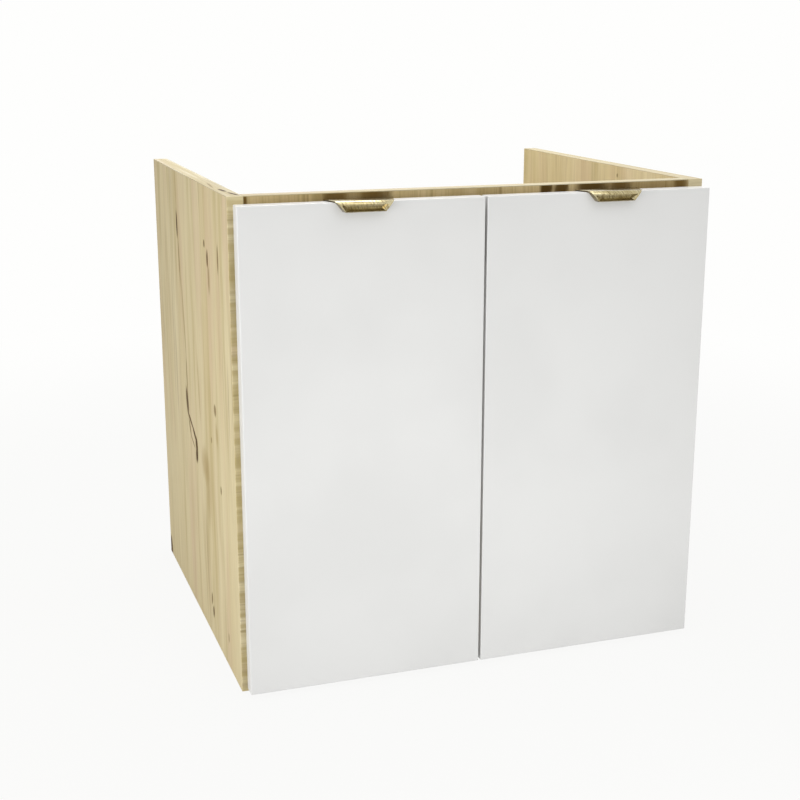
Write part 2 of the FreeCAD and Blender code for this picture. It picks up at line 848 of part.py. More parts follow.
left_blank = door_blank()
parts["left_door_panel"] = door_panel(left_blank, left_handle_x, False)
parts["right_door_panel"] = door_panel(mirrored(left_blank), right_handle_x, True)
parts["left_cup_screws"] = Part.makeCompound(cup_screws)
parts["right_cup_screws"] = mirrored(parts["left_cup_screws"])
parts["left_door_bumpers"] = Part.makeCompound(bumpers())
parts["right_door_bumpers"] = mirrored(parts["left_door_bumpers"])
for side, middle_x in (("left", left_handle_x), ("right", right_handle_x)):
    parts[side + "_handle"] = handle(middle_x)
    parts[side + "_handle_screws"] = handle_screws(middle_x)

os.makedirs("parts", exist_ok=True)
for name, shape in parts.items():
    shape.exportStep("parts/" + name + ".step")
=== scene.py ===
import math
import bmesh
import bpy
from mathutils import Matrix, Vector


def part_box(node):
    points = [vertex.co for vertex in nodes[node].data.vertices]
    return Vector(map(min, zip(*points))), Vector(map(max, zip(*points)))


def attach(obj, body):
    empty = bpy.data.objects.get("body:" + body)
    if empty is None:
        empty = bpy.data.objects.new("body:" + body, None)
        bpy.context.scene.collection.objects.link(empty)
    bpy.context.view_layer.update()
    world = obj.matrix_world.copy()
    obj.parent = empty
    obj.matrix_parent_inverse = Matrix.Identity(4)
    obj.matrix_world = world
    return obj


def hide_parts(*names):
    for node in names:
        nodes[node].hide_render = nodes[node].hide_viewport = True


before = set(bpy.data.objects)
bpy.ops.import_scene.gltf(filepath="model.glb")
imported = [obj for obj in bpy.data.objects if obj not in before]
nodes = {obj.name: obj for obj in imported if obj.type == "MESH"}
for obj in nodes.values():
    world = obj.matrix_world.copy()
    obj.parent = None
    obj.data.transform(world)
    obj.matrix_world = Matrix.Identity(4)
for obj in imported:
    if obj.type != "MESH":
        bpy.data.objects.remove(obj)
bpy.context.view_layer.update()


# ---- Side panels -----------------------------------------------------------------------------
# Two upright chipboards, 19 mm thick, faced on both sides with a printed oak decor paper under
# matt melamine resin. The paper covers only the two faces: saw cuts and bores show bare chips.
def linear(code):
    """The linear colour of an sRGB hex value."""
    channels = [int(code[place:place + 2], 16) / 255 for place in (1, 3, 5)]
    return [c / 12.92 if c <= 0.04045 else ((c + 0.055) / 1.055) ** 2.4 for c in channels] + [1]


def add(tree, kind, inputs=(), **settings):
    """A node with its settings. An input takes a value, a hex colour, a socket or a whole node."""
    made = tree.nodes.new(kind)
    for name, value in settings.items():
        setattr(made, name, value)
    for name, value in dict(inputs).items():
        if isinstance(value, bpy.types.Node):
            value = value.outputs[0]
        if isinstance(value, bpy.types.NodeSocket):
            tree.links.new(value, made.inputs[name])
        elif isinstance(value, str) and value.startswith("#"):
            made.inputs[name].default_value = linear(value)
        else:
            made.inputs[name].default_value = value
    return made


def new_material(name, **surface):
    """A material, its node tree and its Principled shader, with some of the shader's own values."""
    material = bpy.data.materials.new(name)
    material.use_nodes = True
    shader = material.node_tree.nodes["Principled BSDF"]
    for socket, value in surface.items():
        shader.inputs[socket.replace("_", " ")].default_value = value
    return material, material.node_tree, shader


def blotches(tree, place, sizes, detail=2.0, seed=0.0):
    """Noise from 0 to 1 whose blotches have about the given sizes in mm along X, Y and Z."""
    scale = [1000 / size for size in sizes]
    stretched = add(tree, "ShaderNodeVectorMath", {0: place, 1: scale}, operation="MULTIPLY")
    return add(
        tree, "ShaderNodeTexNoise", {"Vector": stretched, "W": seed, "Scale": 1.0, "Detail": detail},
        noise_dimensions="4D",
    )


def tint(tree, colour, toward, pattern, low=0.0, high=1.0, most=1.0):
    """A colour that goes toward another one where a pattern rises from low to high."""
    amount = add(
        tree, "ShaderNodeMapRange", {0: pattern, 1: low, 2: high, 3: 0.0, 4: most},
        interpolation_type="SMOOTHSTEP",
    )
    mixed = add(tree, "ShaderNodeMix", {0: amount, 6: colour, 7: toward}, data_type="RGBA")
    return mixed.outputs[2]


def dress(tree, shader, colour, texture, roughness, strength, depth):
    """Give a shader its colour. A fine texture sets its roughness and its relief, depth in mm."""
    low, high = roughness
    # Nearly all of a noise texture lies between a quarter and three quarters.
    varied = add(tree, "ShaderNodeMapRange", {0: texture, 1: 0.25, 2: 0.75, 3: low, 4: high})
    relief = add(
        tree, "ShaderNodeBump", {"Strength": strength, "Distance": depth / 1000, "Height": texture}
    )
    tree.links.new(colour, shader.inputs["Base Color"])
    tree.links.new(varied.outputs[0], shader.inputs["Roughness"])
    tree.links.new(relief.outputs[0], shader.inputs["Normal"])


def grain_place(tree, face, along):
    """Object coordinates turned so that X runs across the grain, Y through the face, Z along it."""
    coordinates = add(tree, "ShaderNodeTexCoord").outputs["Object"]
    split = add(tree, "ShaderNodeSeparateXYZ", {0: coordinates}).outputs
    across = "XYZ".replace(face, "").replace(along, "")
    axes = {"X": split[across], "Y": split[face], "Z": split[along]}
    return add(tree, "ShaderNodeCombineXYZ", axes)


def torn_edge(tree, place):
    """A pattern about 1 that tears the outlines of knots, in shreds that run along the grain."""
    shreds = blotches(tree, place, (5, 20, 12), detail=4, seed=17)
    return add(tree, "ShaderNodeMapRange", {0: shreds, 1: 0.2, 2: 0.8, 3: 0.65, 4: 1.4})


def knot(tree, place, colour, torn, shape, tones):
    """One knot or dark streak over a colour: a brown heart in a soft halo, torn at its edge.

    It reaches only a few millimetres into the board, so that it shows on one face.
    """
    across, through, along, half_width, half_length, lean, halo, heart = shape
    depth = 4
    centred = add(
        tree, "ShaderNodeMapping",
        {
            "Vector": place,
            "Location": (across / 1000, through / 1000, along / 1000),
            "Rotation": (0, math.radians(lean), 0),
            "Scale": (half_width / 1000, depth / 1000, half_length / 1000),
        },
        vector_type="TEXTURE",
    )
    ball = add(tree, "ShaderNodeTexGradient", {0: centred}, gradient_type="SPHERICAL")
    ragged = add(tree, "ShaderNodeMath", {0: ball.outputs[1], 1: torn}, operation="MULTIPLY")
    colour = tint(tree, colour, tones["halo"], ragged, 0.0, 0.8, halo)
    if heart:
        colour = tint(tree, colour, tones["knot"], ragged, 0.15, 0.55, heart)
    return colour


def crack(through, points, reach, heart):
    """Knots laid end to end along a line of points. reach is half their level width in mm."""
    halo = 0.5
    shapes = []
    for (across, along), (next_across, next_along) in zip(points, points[1:]):
        lean = math.atan2(across - next_across, along - next_along)
        half_length = math.hypot(across - next_across, along - next_along) / 2 + reach
        middle = ((across + next_across) / 2, through, (along + next_along) / 2)
        half_width = reach * math.cos(lean)
        shapes.append((*middle, half_width, half_length, math.degrees(lean), halo, heart))
    return shapes


def oak_print(tree, place, tones):
    """The printed oak: wandering soft bands, olive and pink clouds, broken streaks and fibres."""
    # The grain wanders sideways by these lengths in metres.
    wander_reach = 0.02
    ripple_reach = 0.006
    wander = blotches(tree, place, (220, 30, 620))
    ripple = blotches(tree, place, (30, 30, 170), seed=2)
    drift = add(
        tree, "ShaderNodeMapRange", {0: wander, 1: 0.2, 2: 0.8, 3: -wander_reach, 4: wander_reach}
    )
    sideways = add(
        tree, "ShaderNodeMath", {0: ripple, 1: ripple_reach, 2: drift}, operation="MULTIPLY_ADD"
    )
    shift = add(tree, "ShaderNodeCombineXYZ", {0: sideways})
    bent = add(tree, "ShaderNodeVectorMath", {0: place, 1: shift}, operation="ADD")
    bands = blotches(tree, bent, (80, 30, 1100), seed=3)
    clouds = blotches(tree, bent, (26, 30, 430), detail=3, seed=7)
    blush = blotches(tree, bent, (46, 30, 340), seed=9)
    patches = blotches(tree, bent, (90, 30, 300), seed=13)
    streaks = blotches(tree, bent, (4, 30, 230), detail=3, seed=11)
    broken = add(tree, "ShaderNodeMath", {0: streaks, 1: patches}, operation="MULTIPLY")
    fibres = blotches(tree, bent, (1.5, 30, 90), detail=3, seed=23)
    colour = tint(tree, tones["light"], tones["warm"], bands, 0.34, 0.66)
    colour = tint(tree, colour, tones["olive"], clouds, 0.44, 0.74, 0.75)
    colour = tint(tree, colour, tones["pink"], blush, 0.48, 0.72, 0.6)
    colour = tint(tree, colour, tones["line"], broken, 0.26, 0.44, 0.5)
    colour = tint(tree, colour, tones["line"], fibres, 0.4, 0.8, 0.3)
    return colour, fibres


def bare_chips(tree):
    """The cut chipboard core: pale and dark chips, two or three millimetres across, and dust."""
    chips_per_metre = 420.0
    coordinates = add(tree, "ShaderNodeTexCoord").outputs["Object"]
    chips = add(tree, "ShaderNodeTexVoronoi", {"Vector": coordinates, "Scale": chips_per_metre})
    shade = add(tree, "ShaderNodeSeparateXYZ", {0: chips.outputs["Color"]})
    dust = blotches(tree, coordinates, (1.2, 1.2, 1.2), detail=3)
    colour = tint(tree, "#C6A878", "#A98655", shade, 0.2, 0.9)
    return tint(tree, colour, "#7C5C36", dust, 0.55, 0.75, 0.6)


def only_on_faces(tree, face, edge_colour, face_colour):
    """One colour where a surface looks along the face axis, another on cut edges and in bores."""
    coordinates = add(tree, "ShaderNodeTexCoord")
    split = add(tree, "ShaderNodeSeparateXYZ", {0: coordinates.outputs["Normal"]})
    size = add(tree, "ShaderNodeMath", {0: split.outputs[face]}, operation="ABSOLUTE")
    return tint(tree, edge_colour, face_colour, size, 0.8, 0.9)


# The print's colours, and a lighter copy for the right board, as painted light on its inner face.
oak_tones = {
    "light": "#DED1AB", "warm": "#D3C296", "olive": "#B9A774", "pink": "#D2BA9A",
    "line": "#937A50", "halo": "#957636", "knot": "#4E350A",
}
oak_tones_painted_light = {
    "light": "#ECDEB8", "warm": "#E1D0A3", "olive": "#C7B580", "pink": "#DFC7A5",
    "line": "#A08658", "halo": "#957636", "knot": "#4E350A",
}


def oak_board(name, face, along, tones=oak_tones, knots=()):
    """Melamine-faced chipboard: oak print on its two faces, chips on its edges and in its bores."""
    material, tree, shader = new_material(name, Specular_IOR_Level=0.06)
    place = grain_place(tree, face, along)
    colour, fibres = oak_print(tree, place, tones)
    torn = torn_edge(tree, place)
    for shape in knots:
        colour = knot(tree, place, colour, torn, shape, tones)
    colour = only_on_faces(tree, face, bare_chips(tree), colour)
    dress(tree, shader, colour, fibres, (0.5, 0.65), 0.25, 0.2)
    return material


def paint(names, material):
    """Give CAD pieces a material in place of the plain one that they came with."""
    for name in names:
        nodes[name].data.materials.clear()
        nodes[name].data.materials.append(material)


outer_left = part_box("left_side_panel")[0].x * 1000
# Each knot: its place across the grain, through the board and along the grain, its half width and
# half length, all in mm, its lean in degrees, and how dark its halo and its heart are, from 0 to 1.
left_side_knots = [
    (97, outer_left, 528, 6.5, 28, 2, 0.7, 1.0),
    (98, outer_left, 575, 5, 48, 0, 0.4, 0.0),
    (90, outer_left, 478, 6, 46, 5, 0.5, 0.25),
    (72, outer_left, 400, 6, 90, 8, 0.45, 0.1),
    (66, outer_left, 322, 6, 44, 4, 0.5, 0.3),
    (-90, outer_left, 528, 6, 7, 0, 0.5, 0.7),
    (-107, outer_left, 512, 7, 15, -3, 0.8, 0.8),
    (-112, outer_left, 488, 8, 26, 0, 0.5, 0.2),
    (-170, outer_left, 520, 6, 24, 0, 0.5, 0.45),
    (-18, outer_left, 330, 9, 70, 6, 0.35, 0.0),
    (-46, outer_left, 234, 34, 32, 12, 0.45, 0.0),
    (-60, outer_left, 200, 26, 60, 0, 0.25, 0.0),
    (-122, outer_left, 326, 9, 11, 0, 0.6, 0.45),
    (-128, outer_left, 296, 10, 22, 8, 0.4, 0.0),
    (-143, outer_left, 229, 5, 8, 0, 0.6, 0.55),
    (-93, outer_left, 280, 4, 6, 0, 0.5, 0.4),
    (-66, outer_left, 36, 6, 12, -8, 0.8, 0.9),
    (-58, outer_left, 52, 6, 12, -12, 0.6, 0.5),
    (-161, outer_left, 40, 4, 9, 0, 0.5, 0.3),
    (262, outer_left, 8, 14, 26, 0, 0.9, 0.9),
]
# A dark forked crack, a little below the middle of the panel. Its third stroke is a fainter one.
left_side_knots += crack(outer_left, [(74, 306), (66, 274), (37, 262)], 12, 0.9)
left_side_knots += crack(outer_left, [(37, 262), (14, 249), (11, 238), (14, 224)], 11, 1.0)
left_side_knots += crack(outer_left, [(64, 268), (50, 246), (26, 236)], 7, 0.45)
inner_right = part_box("right_side_panel")[0].x * 1000
right_side_knots = [(-44, inner_right, 587, 3, 4, 0, 0.4, 0.4)]
left_oak = oak_board("oak_melamine_left_side", "X", "Z", oak_tones, left_side_knots)
right_oak = oak_board("oak_melamine_right_side", "X", "Z", oak_tones_painted_light, right_side_knots)
paint(["left_side_panel"], left_oak)
paint(["right_side_panel"], right_oak)


# ---- Edge bands ------------------------------------------------------------------------------
# Millimetre-thick plastic bands with the same oak print, glued on the cut edges and trimmed. On
# the sides' front edges the print runs across the band, so that it shows short level bars. The
# front bands' print is painted lighter than the boards', as painted light.
band_tones_painted_light = {
    "light": "#F4E9C6", "warm": "#E8DBAF", "olive": "#C8B682", "pink": "#DCC8A2",
    "line": "#9E8757",
}
top_tones = {
    "light": "#D2C9AE", "warm": "#CABF9F", "olive": "#B8A981", "pink": "#C5B497",
    "line": "#94825A", "halo": "#80653A", "knot": "#46300C",
}


def oak_band(name, face, along, tones, bar_height, knots=()):
    """Printed edge band, satin, with bars along the grain of about the given height in mm."""
    material, tree, shader = new_material(name, Specular_IOR_Level=0.1)
    place = grain_place(tree, face, along)
    colour, fibres = oak_print(tree, place, tones)
    bars = blotches(tree, place, (bar_height, 60, 300), detail=1, seed=31)
    colour = tint(tree, colour, tones["olive"], bars, 0.4, 0.62, 0.75)
    thin = blotches(tree, place, (bar_height / 4, 60, 120), detail=3, seed=37)
    colour = tint(tree, colour, tones["line"], thin, 0.58, 0.76, 0.55)
    torn = torn_edge(tree, place)
    for shape in knots:
        colour = knot(tree, place, colour, torn, shape, tones)
    dress(tree, shader, colour, fibres, (0.38, 0.48), 0.2, 0.2)
    return material


front_band = oak_band("oak_band_front", "Y", "X", band_tones_painted_light, bar_height=12)
paint(["left_side_front_band", "right_side_front_band"], front_band)
top_of_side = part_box("left_side_top_band")[1].z * 1000
top_knots = crack(top_of_side, [(-293, -150), (-290, -185), (-284, -226)], 3.5, 1.0)
top_knots += [(-294, top_of_side, -110, 2, 40, 4, 0.6, 0.2)]
top_band = oak_band("oak_band_top", "Z", "Y", top_tones, bar_height=7, knots=top_knots)
paint(["left_side_top_band", "right_side_top_band"], top_band)


# ---- Rails and bottom ------------------------------------------------------------------------
# The front rail, the rear rail and the bottom are cut from the same board. The rails' print runs
# upright, as on the sides, and the bottom's runs from front to back. The front rail's print is
# painted darker, as painted shade from the doors in front of it.
rail_tones_painted_shade = {
    "light": "#DCC89B", "warm": "#CEB885", "olive": "#B39D67", "pink": "#C3A97F",
    "line": "#7B6430", "halo": "#7E6230", "knot": "#4F3A12",
}
rail_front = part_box("front_top_rail")[0].y * 1000
# Painted shade: the first mark is a painted shadow along the joint with the left side. The marks
# from x -176 to -126 and from 88 to 188 lie right behind the two pulls.
rail_marks_and_painted_shade = [
    (-279, rail_front, 594, 3, 40, 0, 0.9, 0.4),
    (-10, rail_front, 590, 70, 80, 0, 0.25, 0.0),
    (235, rail_front, 590, 80, 80, 0, 0.45, 0.0),
    (-176, rail_front, 596, 22, 22, 0, 0.8, 0.35),
    (-126, rail_front, 596, 26, 24, 0, 0.8, 0.42),
    (-150, rail_front, 594, 46, 30, 0, 0.4, 0.0),
    (88, rail_front, 596, 12, 18, 0, 0.9, 0.9),
    (108, rail_front, 596, 14, 20, 0, 0.9, 0.8),
    (150, rail_front, 596, 30, 24, 0, 0.9, 0.7),
    (188, rail_front, 596, 22, 20, 0, 0.8, 0.4),
    (270, rail_front, 596, 12, 26, 0, 0.9, 0.3),
]
paint(["front_top_rail"], oak_board("oak_melamine_front_rail", "Y", "Z", rail_tones_painted_shade, rail_marks_and_painted_shade))
paint(["rear_rail"], oak_board("oak_melamine_rear_rail", "Y", "Z"))
paint(["bottom_panel"], oak_board("oak_melamine_bottom", "Z", "Y"))
rail_top_band = oak_band("oak_band_rail_top", "Z", "X", top_tones, bar_height=6)
paint(["front_rail_top_band", "rear_rail_top_band"], rail_top_band)
paint(["bottom_panel_front_band"], oak_band("oak_band_bottom", "Y", "X", band_tones_painted_light, bar_height=9))


# ---- Dowels ----------------------------------------------------------------------------------
# Beech pegs, 8 mm thick, pressed with lengthwise flutes for the glue and chamfered at both ends.
# Each is turned by a Geometry Nodes tree and set in its two holes.
# Points that lie closer together than this, in metres, become one.
weld_distance = 1e-6


def geometry_tree(name, sizes):
    """A Geometry Nodes tree with its seats and its named sizes, in metres, as inputs."""
    tree = bpy.data.node_groups.new(name, "GeometryNodeTree")
    tree.interface.new_socket("Seats", in_out="INPUT", socket_type="NodeSocketGeometry")
    for label in sizes:
        tree.interface.new_socket(label, in_out="INPUT", socket_type="NodeSocketFloat")
    tree.interface.new_socket("Pieces", in_out="OUTPUT", socket_type="NodeSocketGeometry")
    return tree, tree.nodes.new("NodeGroupInput").outputs


def curve_through(tree, value, shares):
    """A value led along straight lines through evenly spaced shares between 0 and 1."""
    curve = add(tree, "ShaderNodeFloatCurve", {"Value": value})
    points = curve.mapping.curves[0].points
    last = len(shares) - 1
    for step, share in enumerate(shares):
        point = points[step] if step < 2 else points.new(step / last, share)
        point.location = (step / last, share)
        point.handle_type = "VECTOR"
    curve.mapping.update()
    return curve


def turned(tree, profile, radius, length, start=0.0, segments=40, flutes=0, flute_share=0.0):
    """A closed turned body. Its profile is a list of (share of the length, share of the radius)."""
    grid = add(
        tree, "GeometryNodeMeshGrid",
        {"Size X": 1.0, "Size Y": 1.0, "Vertices X": segments + 1, "Vertices Y": len(profile)},
    )
    position = add(tree, "GeometryNodeInputPosition")
    flat = add(tree, "ShaderNodeSeparateXYZ", {0: position}).outputs
    share = add(tree, "ShaderNodeMath", {0: flat[1], 1: 0.5}, operation="ADD")
    angle = add(
        tree, "ShaderNodeMath", {0: flat[0], 1: math.tau, 2: math.pi}, operation="MULTIPLY_ADD"
    )
    height = curve_through(tree, share, [point[0] for point in profile])
    height = add(tree, "ShaderNodeMath", {0: height, 1: length, 2: start}, operation="MULTIPLY_ADD")
    reach = curve_through(tree, share, [point[1] for point in profile])
    reach = add(tree, "ShaderNodeMath", {0: reach, 1: radius}, operation="MULTIPLY")
    if flutes:
        turns = add(tree, "ShaderNodeMath", {0: angle, 1: flutes}, operation="MULTIPLY")
        wave = add(tree, "ShaderNodeMath", {0: turns}, operation="COSINE")
        narrowed = add(tree, "ShaderNodeMapRange", {0: wave, 3: 1.0, 4: 1.0 - flute_share})
        reach = add(tree, "ShaderNodeMath", {0: reach, 1: narrowed}, operation="MULTIPLY")
    cosine = add(tree, "ShaderNodeMath", {0: angle}, operation="COSINE")
    sine = add(tree, "ShaderNodeMath", {0: angle}, operation="SINE")
    place = add(tree, "ShaderNodeCombineXYZ", {
        "X": add(tree, "ShaderNodeMath", {0: reach, 1: cosine}, operation="MULTIPLY"),
        "Y": add(tree, "ShaderNodeMath", {0: reach, 1: sine}, operation="MULTIPLY"),
        "Z": height,
    })
    wrapped = add(tree, "GeometryNodeSetPosition", {"Geometry": grid, "Position": place})
    return add(
        tree, "GeometryNodeMergeByDistance", {"Geometry": wrapped, "Distance": weld_distance}
    )


def on_seats(tree, sizes, piece, material):
    """Set one piece on each seat, turned outward and spun at random, and give it its material."""
    sharp_from = math.radians(32)
    spin_seed = 1
    rounded = add(tree, "GeometryNodeSetShadeSmooth", {"Geometry": piece}, domain="FACE")
    corner = add(tree, "GeometryNodeInputMeshEdgeAngle").outputs["Unsigned Angle"]
    gentle = add(
        tree, "FunctionNodeCompare", {"A": corner, "B": sharp_from},
        data_type="FLOAT", operation="LESS_THAN",
    )
    rounded = add(
        tree, "GeometryNodeSetShadeSmooth", {"Geometry": rounded, "Shade Smooth": gentle},
        domain="EDGE",
    )
    outward = add(
        tree, "GeometryNodeInputNamedAttribute", {"Name": "outward"}, data_type="FLOAT_VECTOR"
    )
    aligned = add(tree, "FunctionNodeAlignRotationToVector", {"Vector": outward}, axis="Z")
    spin = add(
        tree, "FunctionNodeRandomValue",
        {"Min": (0, 0, 0), "Max": (0, 0, math.tau), "Seed": spin_seed},
        data_type="FLOAT_VECTOR",
    )
    turn = add(tree, "FunctionNodeEulerToRotation", {0: spin})
    spun = add(
        tree, "FunctionNodeRotateRotation", {"Rotation": aligned, "Rotate By": turn},
        rotation_space="LOCAL",
    )
    copies = add(
        tree, "GeometryNodeInstanceOnPoints",
        {"Points": sizes["Seats"], "Instance": rounded, "Rotation": spun},
    )
    real = add(tree, "GeometryNodeRealizeInstances", {"Geometry": copies})
    finished = add(tree, "GeometryNodeSetMaterial", {"Geometry": real, "Material": material})
    add(tree, "NodeGroupOutput", {0: finished})


def solids_of(name):
    """Lowest and highest corners of each separate solid in a CAD piece."""
    shell = bmesh.new()
    shell.from_mesh(nodes[name].data)
    bmesh.ops.remove_doubles(shell, verts=shell.verts, dist=weld_distance)
    boxes = []
    seen = set()
    for first in shell.verts:
        if first in seen:
            continue
        seen.add(first)
        solid = [first]
        for vertex in solid:
            for edge in vertex.link_edges:
                neighbour = edge.other_vert(vertex)
                if neighbour not in seen:
                    seen.add(neighbour)
                    solid.append(neighbour)
        low = Vector([min(vertex.co[axis] for vertex in solid) for axis in range(3)])
        high = Vector([max(vertex.co[axis] for vertex in solid) for axis in range(3)])
        boxes.append((low, high))
    shell.free()
    return boxes


def seats_of(name, way_out):
    """The inner end of each solid's axis, and the way from there to its outer end."""
    seats = []
    for low, high in solids_of(name):
        middle = (low + high) / 2
        outward = way_out(middle)
        half_length = abs((high - low).dot(outward)) / 2
        seats.append((middle - outward * half_length, outward))
    return seats


def to_cabinet_middle(middle):
    """The level way from a side panel to the middle of the cabinet."""
    return Vector((-math.copysign(1, middle.x), 0, 0))


def spread(node, tree, sizes, way_out, body):
    """Make a tree's piece at each solid of a CAD node, as one plain mesh that replaces the node."""
    seats = seats_of(node, way_out)
    mesh = bpy.data.meshes.new(node + "_seats")
    mesh.from_pydata([place for place, outward in seats], [], [])
    layer = mesh.attributes.new("outward", "FLOAT_VECTOR", "POINT")
    for value, (place, outward) in zip(layer.data, seats):
        value.vector = outward
    holder = bpy.data.objects.new(node + "_seats", mesh)
    bpy.context.scene.collection.objects.link(holder)
    modifier = holder.modifiers.new("pieces", "NODES")
    modifier.node_group = tree
    for socket in tree.interface.items_tree:
        if socket.name in sizes:
            modifier[socket.identifier] = sizes[socket.name] / 1000
    graph = bpy.context.evaluated_depsgraph_get()
    made = bpy.data.meshes.new_from_object(holder.evaluated_get(graph))
    bpy.data.objects.remove(holder)
    piece = bpy.data.objects.new("fine_" + node, made)
    bpy.context.scene.collection.objects.link(piece)
    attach(piece, body)
    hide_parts(node)


def beech(name):
    """Planed beech: pale reddish wood with short dark rays, a millimetre or two long."""
    material, tree, shader = new_material(name)
    coordinates = add(tree, "ShaderNodeTexCoord").outputs["Object"]
    rays = blotches(tree, coordinates, (2.2, 0.5, 0.5), seed=3)
    bands = blotches(tree, coordinates, (30, 1.6, 1.6), seed=5)
    colour = tint(tree, "#D9B98C", "#C9A273", bands, 0.35, 0.65)
    colour = tint(tree, colour, "#8F6A42", rays, 0.58, 0.75, 0.7)
    dress(tree, shader, colour, rays, (0.5, 0.62), 0.3, 0.1)
    return material


# All sizes of turned pieces are in mm, and are handed to their trees in metres.
dowel_sizes = {"Radius": 4.0, "Length": 30.0}
tree, sizes = geometry_tree("fluted_dowel", dowel_sizes)
dowel_profile = [
    (0, 0), (0, 0.6), (0, 0.8), (0.027, 1), (0.3, 1), (0.7, 1), (0.973, 1), (1, 0.8), (1, 0.6),
    (1, 0),
]
peg = turned(
    tree, dowel_profile, sizes["Radius"], sizes["Length"], segments=96, flutes=16, flute_share=0.08
)
on_seats(tree, sizes, peg, beech("fluted_beech"))
spread("wooden_dowels", tree, dowel_sizes, to_cabinet_middle, "carcass")


# ---- Cam fittings ----------------------------------------------------------------------------
# A zinc-plated steel bolt screwed in the side, a die-cast zinc cam in the board, and on the rails
# a push-in cover cap. The cam keeps its own solid, with its slot, core and key hole.
def plated_steel(name, colour, dull, grit):
    """Plated steel with faint cloudy spots. grit is the size of its finest marks in mm."""
    material, tree, shader = new_material(name, Metallic=1.0)
    coordinates = add(tree, "ShaderNodeTexCoord").outputs["Object"]
    clouds = blotches(tree, coordinates, (6, 6, 6), detail=3, seed=2)
    marks = blotches(tree, coordinates, (grit, grit, grit), detail=3, seed=4)
    colour = tint(tree, colour, dull, clouds, 0.35, 0.7)
    dress(tree, shader, colour, marks, (0.24, 0.42), 0.12, 0.05)
    return material


def thread(tree, radius, length, pitch, depth, start):
    """A screw thread: a small three-sided bar wound round the shank."""
    turns = add(tree, "ShaderNodeMath", {0: length, 1: pitch}, operation="DIVIDE")
    root = add(tree, "ShaderNodeMath", {0: radius, 1: depth}, operation="SUBTRACT")
    winding = add(
        tree, "GeometryNodeCurveSpiral",
        {
            "Resolution": 20, "Rotations": turns, "Start Radius": root, "End Radius": root,
            "Height": length,
        },
    )
    bar = add(tree, "GeometryNodeCurvePrimitiveCircle", {"Resolution": 3, "Radius": depth})
    ridge = add(
        tree, "GeometryNodeCurveToMesh", {"Curve": winding, "Profile Curve": bar, "Fill Caps": True}
    )
    lift = add(tree, "ShaderNodeCombineXYZ", {"Z": start})
    return add(tree, "GeometryNodeTransform", {"Geometry": ridge, "Translation": lift})


bolt_sizes = {
    "Radius": 4.2, "Length": 46.5, "Thread Length": 9.0, "Thread Start": 0.8,
    "Thread Radius": 2.98, "Thread Depth": 0.4, "Pitch": 1.6,
}
tree, sizes = geometry_tree("cam_bolt", bolt_sizes)
bolt_profile = [
    (0, 0), (0, 0.4), (0.015, 0.56), (0.235, 0.56), (0.237, 0.98), (0.241, 1), (0.254, 1),
    (0.258, 0.97), (0.26, 0.7), (0.88, 0.7), (0.9, 0.5), (0.932, 0.5), (0.94, 0.8), (0.955, 0.857),
    (0.985, 0.857), (1, 0.68), (1, 0),
]
shank = turned(tree, bolt_profile, sizes["Radius"], sizes["Length"])
ridge = thread(
    tree, sizes["Thread Radius"], sizes["Thread Length"], sizes["Pitch"], sizes["Thread Depth"],
    sizes["Thread Start"],
)
bolt = add(tree, "GeometryNodeJoinGeometry", {0: shank})
tree.links.new(ridge.outputs[0], bolt.inputs[0])
bolt_steel = plated_steel("zinc_plated_bolt_steel", "#B9B7AE", "#96948C", 0.8)
on_seats(tree, sizes, bolt, bolt_steel)
spread("cam_bolts", tree, bolt_sizes, to_cabinet_middle, "carcass")


def cast_zinc(name):
    """Die-cast zinc: dull grey with a fine even grain."""
    material, tree, shader = new_material(name, Metallic=1.0)
    coordinates = add(tree, "ShaderNodeTexCoord").outputs["Object"]
    grain = blotches(tree, coordinates, (0.5, 0.5, 0.5), detail=4)
    colour = tint(tree, "#A8A9A8", "#858685", grain, 0.3, 0.7)
    dress(tree, shader, colour, grain, (0.42, 0.54), 0.3, 0.08)
    return material


paint(["cam_discs"], cast_zinc("die_cast_zinc"))


def moulded_plastic(name, colour, shade, roughness):
    """Injection-moulded plastic with a finely eroded surface."""
    material, tree, shader = new_material(name, Specular_IOR_Level=0.45)
    coordinates = add(tree, "ShaderNodeTexCoord").outputs["Object"]
    texture = blotches(tree, coordinates, (0.4, 0.4, 0.4), detail=3)
    clouds = blotches(tree, coordinates, (9, 9, 9), seed=4)
    dress(tree, shader, tint(tree, colour, shade, clouds), texture, roughness, 0.2, 0.05)
    return material


def into_cabinet(middle):
    """The level way from the front rail backward, and from the rear rail forward."""
    return Vector((0, -math.copysign(1, middle.y), 0))


cap_sizes = {"Radius": 8.5, "Length": 3.3}
tree, sizes = geometry_tree("push_in_cap", cap_sizes)
cap_profile = [
    (0, 0), (0, 0.2), (0.06, 0.26), (0.757, 0.282), (0.758, 0.98), (0.8, 1), (0.87, 0.99),
    (0.94, 0.955), (0.98, 0.85), (1, 0.5), (1, 0),
]
cap = turned(tree, cap_profile, sizes["Radius"], sizes["Length"], segments=64)
cap_plastic = moulded_plastic("oak_toned_polypropylene", "#D2C093", "#C8B586", (0.4, 0.5))
on_seats(tree, sizes, cap, cap_plastic)
spread("cam_cover_caps", tree, cap_sizes, into_cabinet, "carcass")


